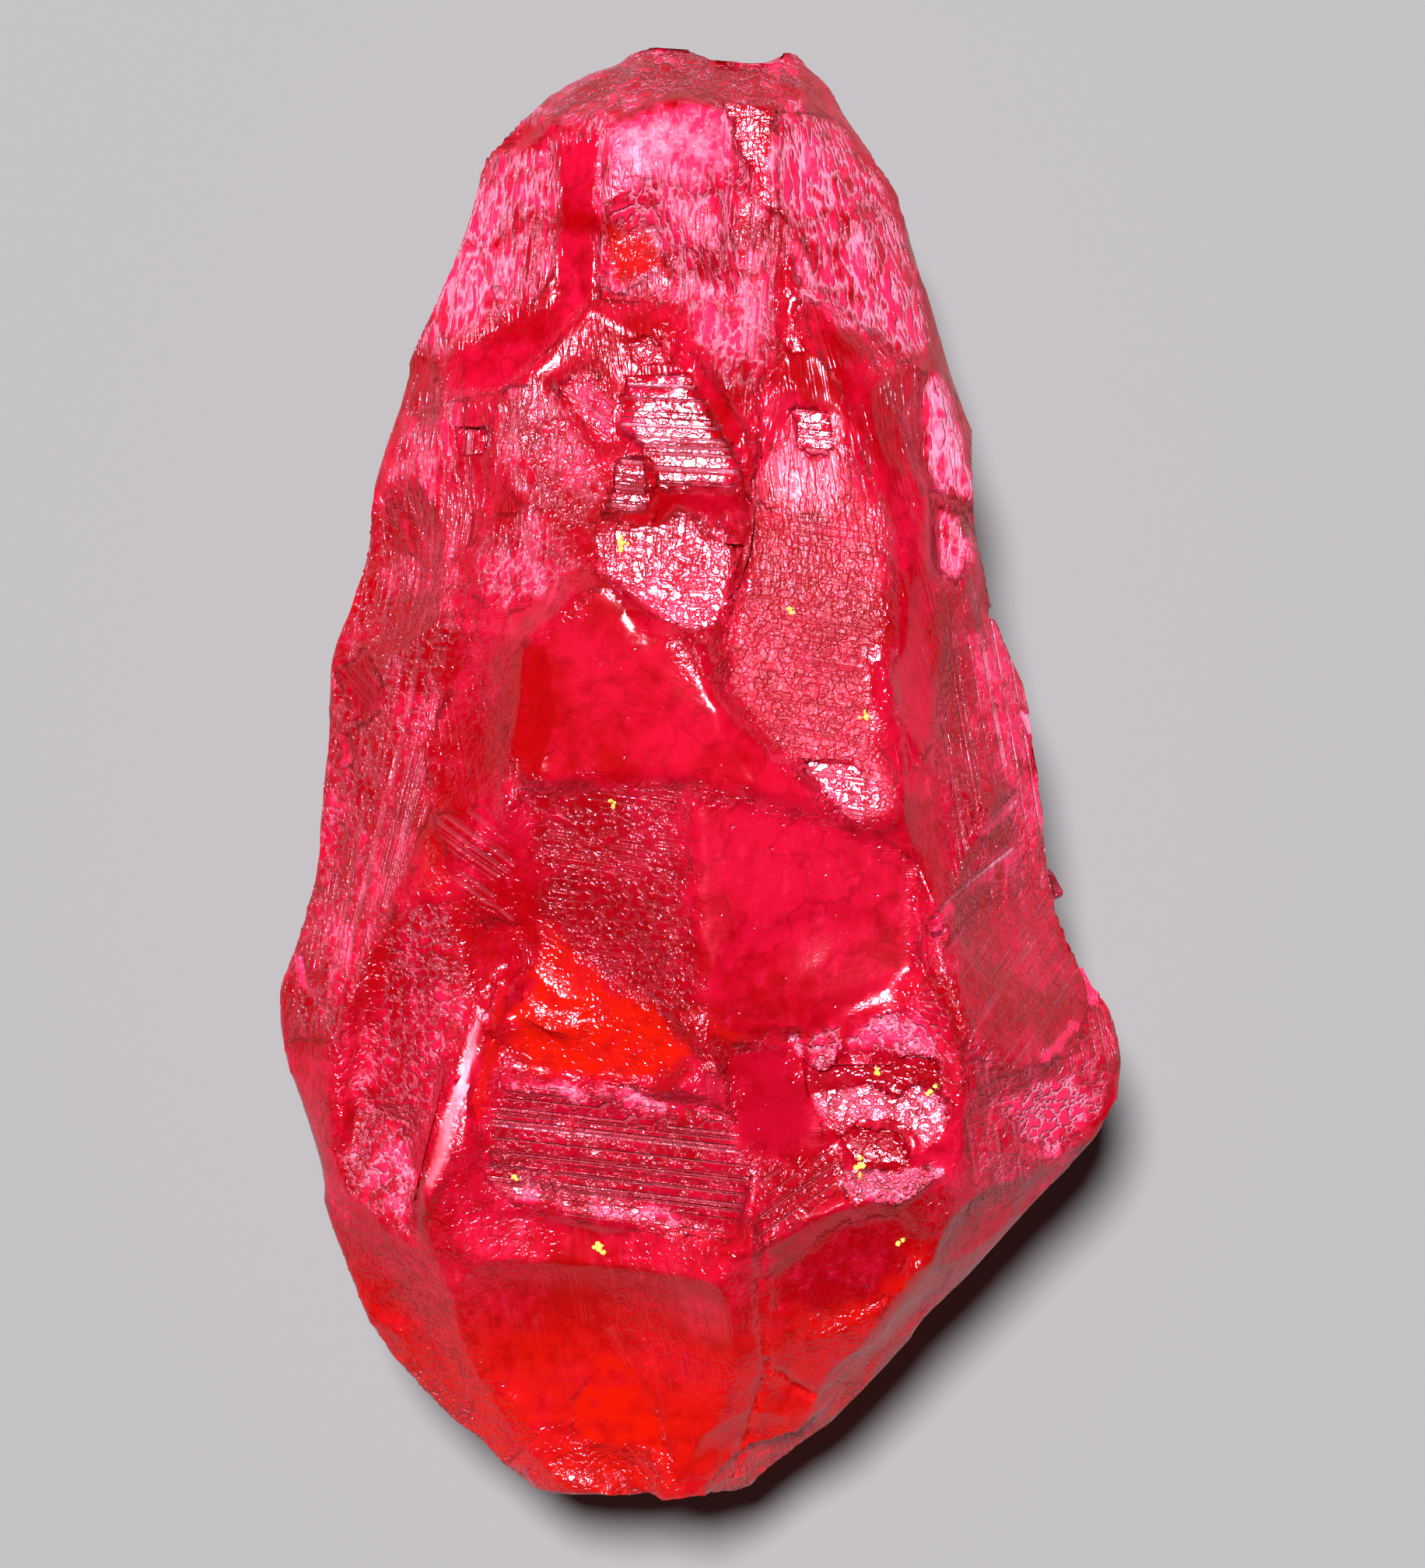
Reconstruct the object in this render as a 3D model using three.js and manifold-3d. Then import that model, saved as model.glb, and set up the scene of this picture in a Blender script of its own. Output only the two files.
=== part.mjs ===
// Raw ruby crystal, lying on its back. Millimetres.
// +Y runs along the crystal to its narrow end, +Z is up, and the lowest natural face is at z = 0.
// The body is a loft over ribs, the long natural edges of the stone. Flat terraces, shell-shaped
// breaks and two open cracks are then cut into it.

import * as THREE from 'three';
import Module from 'manifold-3d';
import { mergeVertices } from 'three/addons/utils/BufferGeometryUtils.js';

const wasm = await Module();
wasm.setup();

// ---------- driving dimensions ----------
const NARROW_END = 48.8; // y of the broken narrow end
const BROAD_END = -48.8; // y of the crumbled broad end
const STATION_STEP = 2.44; // spacing of the sections along the crystal
const TOOL_HEIGHT = 30; // how far a cutting prism stands above its floor
const SCOOP_SEGMENTS = 40; // facets round a shell-shaped break
const ROUNDING = 1e-6; // slack when a station falls on a rib's own point
const RUBY_RED = 0xc4102c;

// ---------- ribs ----------
// Each rib is a list of [x, y, z] from the narrow end to the broad end. They are in order round
// the crystal: over the upper side from left to right, then back under it.
const RIBS = {
  leftEdge: [
    [-4.5, 48.8, 19], [-9.1, 46.5, 20.5], [-14, 42.9, 22], [-16.2, 36.8, 22.5], [-19.9, 30.2, 22.5],
    [-19.7, 26.2, 22.5], [-21.8, 20.5, 23], [-22.5, 15.7, 23], [-25, 7.6, 23], [-25.8, -3.2, 23.5],
    [-26.6, -9.2, 23.5], [-28.5, -14.5, 23.5], [-28.4, -17.8, 23.5], [-25.4, -29.5, 23],
    [-22.1, -38, 21.5], [-18.5, -42.1, 20], [-13.6, -47.6, 18.5], [-11.6, -48.8, 18],
  ],
  leftRidge: [
    [-4, 48.8, 20.5], [-8.8, 45.5, 24], [-11.5, 41, 26.5], [-13.2, 33, 28], [-15.2, 24, 28.5],
    [-17, 15, 28.5], [-18.4, 7.6, 29], [-17.9, -3, 30], [-22.9, -13.6, 28.5],
    [-24.5, -24.2, 27], [-22.5, -31, 25], [-17.5, -39, 22.5], [-11, -48.8, 19.5],
  ],
  glossyStrip: [
    [-3, 48.8, 21.5], [-6, 44.5, 27.5], [-7, 38, 30], [-8, 28, 32], [-10, 18, 33.2],
    [-10.7, 8, 34.4], [-10.8, 0, 35.4], [-13.6, -12.1, 34.6], [-15.7, -17.8, 33.6],
    [-18.7, -27, 31], [-17.5, -33, 28], [-13.5, -40, 24.5], [-9, -48.8, 21],
  ],
  centre: [
    [1, 48.8, 21.5], [0.5, 45.3, 27.5], [1, 38, 31], [1.3, 28, 33.6], [1.3, 18, 35.4],
    [0.5, 9, 36.8], [-0.5, -4, 37.8], [-0.8, -15, 37.4], [1, -24, 36], [1.5, -31, 33.2],
    [1, -38, 29.2], [-3, -48.8, 22.5],
  ],
  rightRidge: [
    [6, 48.8, 21.5], [7, 44, 26], [9, 36, 28.5], [11.5, 24, 30.8], [12.7, 14, 32.6],
    [13.2, 5, 34.2], [13.7, -6.7, 35.4], [15, -13.1, 35.2], [15.8, -18.4, 34.2],
    [16.4, -25, 31.8], [16.4, -31, 28.5], [11.5, -38, 25], [6, -45, 21.8], [2, -48.8, 21],
  ],
  rightFlank: [
    [6.3, 48.8, 20.8], [8.5, 45, 23], [12, 37, 25], [15, 26, 27], [16.8, 16, 28],
    [17.8, 6, 28.5], [20, -6, 29], [22.5, -14, 29], [24, -20, 28], [22, -26.5, 26.5],
    [17.5, -32.5, 24.5], [10, -41, 22], [3.2, -48.8, 19.5],
  ],
  rightEdge: [
    [6.4, 48.8, 20], [8.3, 47.7, 20.5], [9.1, 45.3, 21], [13.1, 40, 22], [15.2, 32.7, 22.5],
    [17.2, 25.8, 22.5], [19.6, 20.5, 22.5], [20.6, 15, 22.5], [20.7, 11.6, 22.5], [22.1, 4.2, 22.5],
    [24.9, -3.6, 22.5], [27, -12.5, 23], [28.5, -19, 23.5], [28.2, -21.8, 23.5], [26.5, -25, 23.5],
    [22.1, -29.5, 22.5], [16.8, -35.2, 21], [9.1, -43.7, 19.5], [3.4, -48.8, 18.5],
  ],
  rightLower: [
    [6, 48.8, 18], [8, 45, 15.5], [12, 38, 12], [15.5, 28, 8.5], [18.5, 12, 7], [22, -5, 6.5],
    [25, -18, 7], [21.5, -27, 8], [13, -38, 10], [3, -48.8, 15],
  ],
  rightBase: [
    [5, 48.8, 16.5], [6, 44, 13], [9, 36, 6], [11.5, 24, 0], [13, 10, 0], [15, -8, 0],
    [15.5, -20, 0], [11, -30, 0], [6, -40, 6], [2, -48.8, 13],
  ],
  leftBase: [
    [-3, 48.8, 16.5], [-6, 44, 13], [-10, 36, 6.5], [-12, 24, 0], [-13.5, 10, 0], [-16, -8, 0],
    [-16.5, -20, 0], [-14, -30, 0], [-11, -40, 6], [-8.5, -48.8, 13],
  ],
  leftLower: [
    [-4, 48.8, 18], [-10, 44, 15], [-14.5, 36, 12], [-17.5, 28, 9], [-19.5, 15, 7],
    [-22, 0, 6.5], [-24.5, -15, 7], [-22.5, -28, 8], [-17, -40, 10], [-10.5, -48.8, 15],
  ],
};

// ---------- flat terraces ----------
// Each is an outline seen from above, with the floor's height at the outline's first point and
// its slopes, the rise in z for each millimetre of x and of y.
const TERRACES = {
  rightLongFace: {
    outline: [[3.2, 19.7], [6.2, 24.2], [8.7, 23.5], [10.7, 20.1], [12.3, 15.2], [12.3, 10],
      [11.1, 3.9], [11.5, -3], [7.9, -1.4], [4.6, 0.7], [1.4, 7.6], [3, 14]],
    height: 33.4, slopeX: -0.24, slopeY: -0.15,
  },
  upperMirrorFace: {
    outline: [[-4.9, 26.6], [-0.7, 26.4], [2.6, 19.7], [2.2, 17.9], [-2.7, 18.2], [-5.1, 23]],
    height: 32.3, slopeX: 0.04, slopeY: -0.12,
  },
  lowerMirrorFace: {
    outline: [[-5.9, 17.3], [-1.9, 17.1], [2.2, 15.7], [2.2, 11.6], [-0.2, 9.4], [-3.5, 10.6],
      [-7.1, 15.2]],
    height: 33.5, slopeX: 0.05, slopeY: -0.12,
  },
  pittedPanel: {
    outline: [[-10.7, 2.3], [-0.6, 2.3], [-0.6, -15.9], [-10.7, -15.9]],
    height: 34.6, slopeX: 0.2, slopeY: 0,
  },
  bandedPanel: {
    outline: [[-12.8, -20.2], [1.4, -22.6], [2.6, -29.5], [1.4, -31.6], [-13.6, -28.3],
      [-14.4, -23.5]],
    height: 33.3, slopeX: 0.17, slopeY: 0.31,
  },
  leftPittedFace: {
    outline: [[-17.8, -8], [-15.4, -14], [-17.4, -22], [-19.4, -29.5], [-23, -28], [-23.6, -20],
      [-21.5, -12]],
    height: 30, slopeX: 0.85, slopeY: 0.05,
  },
};

// ---------- shell-shaped breaks and open cracks ----------
// Each is an ellipsoid: its centre, its three radii, and its turn about z in degrees.
const SCOOPS = {
  deepRedScoop: { centre: [6.4, -7.6, 42.6], radii: [11.5, 16.4, 8], turn: 24 },
  upperScoop: { centre: [-5.4, 31, 38.8], radii: [12, 17, 8], turn: -20 },
  leftShoulderScoop: { centre: [-27, 29, 33], radii: [12, 16, 11], turn: -10 },
  narrowEndScoop: { centre: [-5, 51, 31], radii: [10, 7, 7], turn: 12 },
  rightShoulderScoop: { centre: [22.3, 20, 34], radii: [9, 14, 8], turn: -8 },
  rightLobeScoop: { centre: [29, -25, 34], radii: [10, 8, 10], turn: 0 },
  underLeftScoop: { centre: [-30, -6, 0], radii: [12, 24, 11], turn: 6 },
  underRightScoop: { centre: [28.5, 10, 0], radii: [12, 20, 11], turn: -10 },
  underNarrowScoop: { centre: [-2, 50, -4], radii: [15, 16, 14], turn: 0 },
  underBroadScoop: { centre: [2, -54, -6], radii: [20, 18, 16], turn: 10 },
  upperHollow: { centre: [11.6, -19.4, 37.2], radii: [5.2, 2.3, 4], turn: -8 },
  lowerHollow: { centre: [12, -24.4, 35.4], radii: [4.6, 2, 3.6], turn: 6 },
  narrowEndGroove: { centre: [3.6, 38.5, 37.2], radii: [2.6, 12, 7.4], turn: 4 },
  narrowEndNotch: { centre: [3.1, 49.6, 20], radii: [1.7, 1.6, 9], turn: 0 },
  rightNotch: { centre: [21, 10.8, 23], radii: [3, 0.5, 7], turn: 4 },
};

// ---------- helpers ----------
function toSolid(geometry) {
  const bare = geometry.index ? geometry.toNonIndexed() : geometry.clone();
  bare.deleteAttribute('normal');
  bare.deleteAttribute('uv');
  const welded = mergeVertices(bare);
  const mesh = new wasm.Mesh({
    numProp: 3,
    vertProperties: Float32Array.from(welded.attributes.position.array),
    triVerts: Uint32Array.from(welded.index.array),
  });
  return new wasm.Manifold(mesh);
}

function toGeometry(solid) {
  const mesh = solid.getMesh();
  const geometry = new THREE.BufferGeometry();
  geometry.setAttribute('position', new THREE.BufferAttribute(mesh.vertProperties, mesh.numProp));
  geometry.setIndex(new THREE.BufferAttribute(mesh.triVerts, 1));
  geometry.computeVertexNormals();
  return geometry;
}

// The rib's point at height y along the crystal, on the straight run between its two neighbours.
function ribAt(rib, y) {
  const next = Math.max(1, rib.findIndex((point) => point[1] <= y + ROUNDING));
  const above = new THREE.Vector3(...rib[next - 1]);
  const below = new THREE.Vector3(...rib[next]);
  return above.lerp(below, (above.y - y) / (above.y - below.y));
}

// A closed loft: one ring of rib points at each station, and a flat fan over each end.
function loftBody() {
  const ribs = Object.values(RIBS);
  const count = Math.round((NARROW_END - BROAD_END) / STATION_STEP);
  const positions = [];
  for (let i = 0; i <= count; i++) {
    const y = THREE.MathUtils.lerp(NARROW_END, BROAD_END, i / count);
    for (const rib of ribs) {
      positions.push(...ribAt(rib, y).toArray());
    }
  }
  const index = [];
  const sides = ribs.length;
  for (let i = 0; i < count; i++) {
    for (let j = 0; j < sides; j++) {
      const a = i * sides + j;
      const b = i * sides + ((j + 1) % sides);
      index.push(a, a + sides, b, b, a + sides, b + sides);
    }
  }
  for (let j = 1; j < sides - 1; j++) {
    index.push(0, j, j + 1);
    index.push(count * sides, count * sides + j + 1, count * sides + j);
  }
  const geometry = new THREE.BufferGeometry();
  geometry.setAttribute('position', new THREE.Float32BufferAttribute(positions, 3));
  geometry.setIndex(index);
  return geometry;
}

// A prism that stands on the terrace's sloping floor.
function terraceTool({ outline, height, slopeX, slopeY }) {
  const [x0, y0] = outline[0];
  const shape = new THREE.Shape(outline.map(([x, y]) => new THREE.Vector2(x - x0, y - y0)));
  const geometry = new THREE.ExtrudeGeometry(shape, { depth: TOOL_HEIGHT, bevelEnabled: false });
  const tilt = new THREE.Matrix4().set(
    1, 0, 0, x0,
    0, 1, 0, y0,
    slopeX, slopeY, 1, height,
    0, 0, 0, 1,
  );
  return geometry.applyMatrix4(tilt);
}

function scoopTool({ centre, radii, turn }) {
  const geometry = new THREE.SphereGeometry(1, SCOOP_SEGMENTS, SCOOP_SEGMENTS / 2);
  geometry.scale(...radii);
  geometry.rotateZ(THREE.MathUtils.degToRad(turn));
  geometry.translate(...centre);
  return geometry;
}

// ---------- the crystal ----------
let body = toSolid(loftBody());
for (const terrace of Object.values(TERRACES)) {
  body = body.subtract(toSolid(terraceTool(terrace)));
}
for (const scoop of Object.values(SCOOPS)) {
  body = body.subtract(toSolid(scoopTool(scoop)));
}

const ruby = new THREE.MeshStandardMaterial({ color: RUBY_RED, roughness: 0.25, metalness: 0 });
const crystal = new THREE.Mesh(toGeometry(body), ruby);
crystal.name = 'crystal';

const group = new THREE.Group();
group.add(crystal);

export default group;
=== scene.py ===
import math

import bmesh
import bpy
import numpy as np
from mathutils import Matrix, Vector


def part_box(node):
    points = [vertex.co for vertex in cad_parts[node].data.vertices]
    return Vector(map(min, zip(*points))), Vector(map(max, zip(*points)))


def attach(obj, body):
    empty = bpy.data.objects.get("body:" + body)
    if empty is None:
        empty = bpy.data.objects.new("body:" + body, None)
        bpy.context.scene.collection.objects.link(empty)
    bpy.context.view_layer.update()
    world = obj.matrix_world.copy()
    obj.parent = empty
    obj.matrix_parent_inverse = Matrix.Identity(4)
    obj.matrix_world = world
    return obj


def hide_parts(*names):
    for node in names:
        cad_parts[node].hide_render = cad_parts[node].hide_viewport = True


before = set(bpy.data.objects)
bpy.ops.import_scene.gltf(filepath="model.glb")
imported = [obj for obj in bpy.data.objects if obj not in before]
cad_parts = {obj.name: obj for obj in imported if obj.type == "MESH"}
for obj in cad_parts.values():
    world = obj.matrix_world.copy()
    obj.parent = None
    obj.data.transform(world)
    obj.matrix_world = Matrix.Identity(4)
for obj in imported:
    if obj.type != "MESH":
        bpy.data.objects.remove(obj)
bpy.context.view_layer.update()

# The looks of the raw ruby crystal, built round its imported solid.
#
# The solid is remeshed finely and its natural faces are cut and flattened one by one. Growth lines,
# pits, breaks and cracks are carved into them. One procedural ruby material then takes its finish,
# with painted glow, shade and glints, from numbers kept at the mesh's points. Places are in
# millimetres of the design, from the middle of the crystal's box and up from its base, and UNIT
# turns them into metres.

# ---------- the crystal's own measures, from the frame ----------
NODE = "crystal"
LOW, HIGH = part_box(NODE)
DESIGN_LENGTH = 97.6  # the crystal's length in mm that the places below are written for
UNIT = (HIGH.y - LOW.y) / DESIGN_LENGTH  # metres for one mm of the design
ORIGIN = np.array([(LOW.x + HIGH.x) / 2, (LOW.y + HIGH.y) / 2, LOW.z])
HALF_LENGTH = DESIGN_LENGTH / 2

# ---------- the stone's mesh and relief, in mm ----------
GRAIN = 0.36  # between the mesh's points
MOST_TRIANGLES = 190_000
SHARP_ANGLE = 38  # degrees between two triangles that meet at a sharp edge
EDGE_HEIGHT = 22  # above the base, about where the stone is widest
FREE_HEIGHTS = (0.3, 3.0)  # the relief fades in between these, so that the resting flat stays flat
SWELL, SWELL_SIZE = 0.3, (12, 20, 12)  # height and size of the broad swellings
CRUMBLE, CRUMBLE_SIZE, CRUMBLED_LENGTH = 0.4, 2.2, 5  # at the two broken ends
ALL_BREAKS = dict(count=260, depth=0.5, reach=4.5, seed=7)
LOWER_BREAKS = dict(count=90, depth=0.9, reach=7.0, seed=8)

CRISP = 0.02  # width of a face's edge where it ends in a sharp step
USUAL_EDGE, USUAL_RAGGED = 1.4, 0.2
FACE_DROP = 8  # a face takes in points down to this far below EDGE_HEIGHT
PROUD = 0.5  # a face may stand this far above the surface around it
SUNK, SUNK_PER_EDGE = 0.8, 0.6  # and lie this far below it, more where its edge is wide
LINE_DEPTH, PIT_DEPTH, PIT_SIZE = 0.1, 0.07, (0.9, 0.9, 2.2)
LINE_SPACING = 1.15  # between growth lines
SPIKE = 0.4  # a point may stand off this far from the middle of its neighbours
KEY_SLOPE = (0.05, -0.13)  # rise of a face, per mm of x and y, that mirrors the key light

# ---------- the natural faces of the upper side ----------
# Each face has an outline seen from above, in mm, and:
#   edge    width of the slope around it        ragged  how far its outline wanders
#   depth   depth below its surroundings        flat    0 as it lies to 1 quite flat
#   slope   rise per mm of x and y; without it the face keeps its own lean
#   reach   how far it may lie below the surface around it
#   pits    0 smooth, 1 or more deeply pitted   frost   0 clear, 1 frosted and pale, more a painted glint
#   matte   added dullness                      flow    0 winding pits to 1 drawn-out streaks
#   lines   strength of the growth lines, which run at angle degrees from +X
#   dots    strength of the scattered small pits
#   painted_glow   orange glow painted into the colour, as if lit from within
# #   painted_shade  deep red painted as shade in hollows, gaps and darker faces
# Later faces cut into earlier ones.
FACES = {
    "smooth_middle": dict(
        outline=[(-12.8, 7), (-9.4, 10), (-6.4, 12.2), (-3.8, 10.4), (0, 7), (4, 2.6), (8.8, -3.3),
                 (4, -2.2), (0, -1), (-11.6, -0.6), (-13, 2)],
        edge=3, depth=0.15, flat=0.85, slope=(0.26, 0.06), pits=0.02, frost=0.02, matte=0.1,
        dots=0.6, painted_glow=0.12),
    "deep_scoop": dict(
        outline=[(-0.6, -1.4), (4, -2.2), (8.8, -3.4), (12.6, -4.4), (14.2, -6), (14.4, -13),
                 (12.5, -15), (9, -16.6), (5, -17.6), (2, -17.6), (0, -16.6), (-0.8, -10)],
        edge=2.4, depth=0.1, flat=0.75, slope=(-0.2, 0.1), pits=0.03, frost=0.1, matte=0.3,
        dots=0.8),
    "pitted_panel": dict(
        outline=[(-11.8, -1), (-1, -1), (-0.7, -10), (0, -15.8), (-5, -14.4), (-7, -12.4),
                 (-10.4, -10.8), (-11.4, -6)],
        edge=2.4, depth=0.1, flat=0.8, slope=(0.2, 0.06), pits=0.55, frost=0.1, lines=0.35,
        angle=-8, dots=1, painted_shade=0.35),
    "scoop_rim": dict(
        outline=[(0, -16.2), (5, -17.2), (9, -16.2), (12.5, -14.6), (14.4, -13), (14.4, -14.2),
                 (12.6, -15.7), (9, -17.3), (5, -18.2), (0.5, -17.4)],
        edge=0.8, depth=-0.05, flat=0.3, pits=0.1, frost=0.05, painted_glow=0.8),
    "left_side": dict(
        outline=[(-28, -18), (-26.6, -8), (-26, 4), (-22.6, 17), (-20, 27), (-16, 26), (-15, 18),
                 (-16, 8), (-18, 2), (-19, -6), (-24, -18)],
        edge=3, depth=0, flat=0, pits=0.7, frost=0.35, lines=0.5, angle=80, dots=1),
    "right_side": dict(
        outline=[(14.4, 27), (17.4, 25), (20.6, 13), (22.6, 3), (26, -6), (28.5, -18), (26, -25),
                 (18, -31), (17, -18), (15.6, 0), (15.6, 12)],
        edge=3, depth=0, flat=0, pits=0.6, frost=0.3, lines=0.7, angle=100, dots=1),
    "upper_frost": dict(
        outline=[(-14.6, 42), (-6, 43), (0, 45.4), (6, 45.6), (9.4, 43.6), (13, 38), (15, 32),
                 (15.4, 29), (9, 28.6), (6.6, 30.4), (4, 25), (1.6, 25), (-0.4, 28.6), (-2, 31),
                 (-6.6, 31.4), (-9.6, 33.4), (-13, 30.6), (-17, 29), (-20, 28), (-19.8, 31.4),
                 (-16.8, 36.8)],
        edge=4, depth=0, flat=0, pits=1, frost=0.6, lines=0.3, angle=82),
    "narrow_break": dict(
        outline=[(-14.4, 42.4), (-9.5, 43), (-6.4, 42.6), (-4.4, 44), (-2, 45), (0.6, 45.2),
                 (1.9, 44.4), (3.4, 44.3), (5, 45.2), (7.5, 46), (7, 50), (-4, 50), (-10, 48),
                 (-15, 44.5)],
        edge=1.2, ragged=0.6, depth=0.3, flat=0.3, pits=1.2, frost=0.5, lines=0.3, angle=20),
    "pink_dome": dict(
        outline=[(-6.4, 42.4), (-4.2, 43.9), (-2, 44.8), (0.6, 45), (1.4, 44.4), (2.2, 42.2),
                 (2, 38.5), (-0.5, 38), (-3, 39.6), (-6.3, 39.6)],
        edge=2.4, depth=-0.15, flat=0.4, pits=0.6, frost=0.95),
    "left_streaks": dict(
        outline=[(-14.2, 42), (-10, 42.2), (-10, 33), (-11.5, 30.6), (-13.6, 30.4), (-15.6, 36)],
        edge=2.4, depth=0, flat=0.5, pits=1.0, frost=0.6, lines=0.7, angle=84),
    "left_smooth_strip": dict(
        outline=[(-9.8, 42.4), (-6.7, 42.4), (-6.6, 31.6), (-8, 30.8), (-9.8, 31.8)],
        edge=0.6, depth=0.3, flat=0.8, pits=0.05, frost=0.12),
    "orange_window": dict(
        outline=[(-6.5, 36.6), (-3, 36.2), (-2.2, 33.6), (-5.4, 31.7), (-6.5, 32.4)],
        edge=1.2, depth=0.05, flat=0.4, slope=(0.2, -0.42), pits=0.5, frost=0.1, painted_glow=0.7),
    "upper_streaks": dict(
        outline=[(-2.6, 38), (2, 38.2), (4.6, 36.4), (4.8, 28), (2.6, 24.6), (0.8, 26.6),
                 (-0.4, 30), (-1.4, 33), (-2.4, 34)],
        edge=2, depth=0, flat=0.4, slope=(0.02, -0.34), pits=1.0, frost=0.6, lines=0.7, angle=86),
    "pale_blade": dict(
        outline=[(4.9, 33), (5.7, 34.4), (6.4, 34), (6.4, 30), (7, 27.8), (5.6, 27.6), (4.8, 30)],
        edge=CRISP, depth=-0.1, flat=0.9, slope=KEY_SLOPE, reach=2.2, pits=0.3, frost=0.15,
        matte=-0.1),
    "right_upper_pits": dict(
        outline=[(5.2, 44), (9, 44), (12.6, 40), (14.8, 33), (15.6, 28), (13.4, 27.4), (10.6, 29.8),
                 (7.8, 32), (7, 35), (5.2, 37)],
        edge=3, depth=0, flat=0.3, pits=1.1, frost=0.7),
    "white_triangle": dict(
        outline=[(1.5, 44.5), (5, 44.5), (4.6, 41.5), (4.7, 36.9), (3.8, 38.3), (2.8, 40.3),
                 (2.2, 42.4)],
        edge=CRISP, depth=0.4, flat=1, slope=KEY_SLOPE, reach=2.2, pits=0.4, frost=0.3, matte=-0.1,
        flow=0.5),
    "left_shoulder_pits": dict(
        outline=[(-20.4, 31.2), (-17, 36.4), (-14.8, 35), (-13.5, 30.4), (-17.3, 27), (-20, 28)],
        edge=2, depth=0.1, flat=0.4, pits=0.9, frost=0.55),
    "left_upper_pits": dict(
        outline=[(-13, 25.6), (-9.8, 25.6), (-6.6, 21.6), (-5.8, 18), (-7.4, 15.8), (-10.6, 16.6),
                 (-13.6, 19.6), (-14, 23)],
        edge=2.5, depth=0.05, flat=0.5, pits=1.0, frost=0.4, lines=0.5, angle=75),
    "ribbed_square": dict(
        outline=[(-16.3, 22.9), (-14.1, 23), (-14.2, 21.2), (-16, 21.1)],
        edge=CRISP, depth=0.4, flat=1, slope=KEY_SLOPE, reach=2.2, pits=0.1, frost=0.15, matte=-0.1,
        flow=0, lines=1.5, angle=86),
    "slanting_lines": dict(
        outline=[(-9.6, 25.5), (-7.6, 27.2), (-4.9, 24.8), (-5.2, 21.9), (-6.5, 21.6)],
        depth=0.3, flat=0.9, slope=(0.22, -0.1), pits=0.35, frost=0.6, flow=0, lines=1.5,
        angle=-38),
    "mirror_cap": dict(
        outline=[(-5, 28.4), (-3.5, 29), (-1.6, 26.9), (-4.6, 27)],
        edge=CRISP, depth=0.4, flat=1, slope=KEY_SLOPE, reach=2.2, pits=0.7, frost=0.15, matte=-0.1,
        flow=0),
    "upper_mirror": dict(
        outline=[(-5, 26.2), (-0.9, 26.4), (0.4, 24), (2.7, 20), (2.4, 18.4), (-2.8, 18.6),
                 (-3.4, 20.5), (-5.2, 22.6)],
        edge=CRISP, depth=0.5, flat=1, slope=KEY_SLOPE, reach=2.2, pits=0.2, frost=0.4, matte=-0.1,
        flow=0, lines=1.4, angle=-3),
    "mirror_step": dict(
        outline=[(-5.6, 20.7), (-4, 20.9), (-3.5, 18.5), (-3.5, 17.2), (-6.7, 17), (-5.6, 18.8)],
        edge=CRISP, depth=0.6, flat=1, slope=KEY_SLOPE, reach=2.2, pits=0.6, frost=0.15, matte=-0.1,
        flow=0, lines=1.2, angle=-6),
    "diagonal_band": dict(
        outline=[(-2.8, 29), (-0.6, 27.6), (1.6, 24.6), (3.2, 22), (3.2, 19.8), (2.6, 20.2),
                 (0.4, 24.2), (-1, 26.8)],
        edge=0.7, depth=0.35, flat=0.9, pits=0.05, frost=0.05),
    "right_smooth_band": dict(
        outline=[(6.8, 31.4), (8.6, 30.4), (11.4, 27.2), (13.8, 22), (15, 16.6), (15.6, 12),
                 (16.4, 8), (15.4, 2), (13.4, -0.4), (12.8, 4), (12.7, 11), (12.6, 15.4),
                 (11, 20.2), (9.4, 24.6), (7.4, 28.4)],
        depth=0.15, flat=0.5, pits=0.06, frost=0.08, lines=0.2, angle=105),
    "left_smooth_band": dict(
        outline=[(-17.4, 24.6), (-13, 25.4), (-9.6, 28.4), (-7.2, 31.4), (-8.4, 32.6), (-10.4, 31),
                 (-13.4, 30), (-17.4, 27.4)],
        depth=0.2, flat=0.6, pits=0.06, frost=0.12),
    "red_gap": dict(
        outline=[(-3.2, 18.4), (3, 18.3), (3, 16.4), (0.8, 16.9), (-1.4, 17.4), (-3, 16.2)],
        edge=CRISP, depth=0.5, flat=0.9, pits=0.05, frost=0, painted_shade=0.3),
    "lower_mirror": dict(
        outline=[(-6.8, 16.8), (-3, 16), (-1.4, 17.2), (0.8, 16.6), (2.4, 14.8), (2.1, 11.5),
                 (1.2, 9.8), (-1, 9.3), (-3.6, 10.7), (-7, 13)],
        edge=CRISP, depth=0.3, flat=1, slope=KEY_SLOPE, reach=2.2, pits=0.55, frost=0.3, matte=-0.1,
        lines=0.35, angle=-4),
    "left_mid_pits": dict(
        outline=[(-15.4, 14.6), (-14, 17), (-10.6, 17.4), (-8.6, 15.6), (-7.4, 13.6), (-8.8, 12),
                 (-10.6, 11), (-13, 10.6), (-15.4, 12)],
        edge=2.5, depth=0, flat=0.3, slope=(0.1, -0.06), pits=0.95, frost=0.45),
    "long_face": dict(
        outline=[(6.1, 24.2), (8.5, 23.8), (9.8, 21.8), (10.6, 19.4), (11.6, 17.2), (12.4, 13.2),
                 (12.2, 9.8), (11.4, 7), (11.8, 2), (12.9, -0.6), (12.8, -3.4), (10.8, -4),
                 (9.4, -2.7), (6, 0.3), (4, 2.2), (1.3, 5.2), (2, 9.6), (3.1, 14.4), (3.2, 19.6),
                 (5.3, 22.4)],
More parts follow.
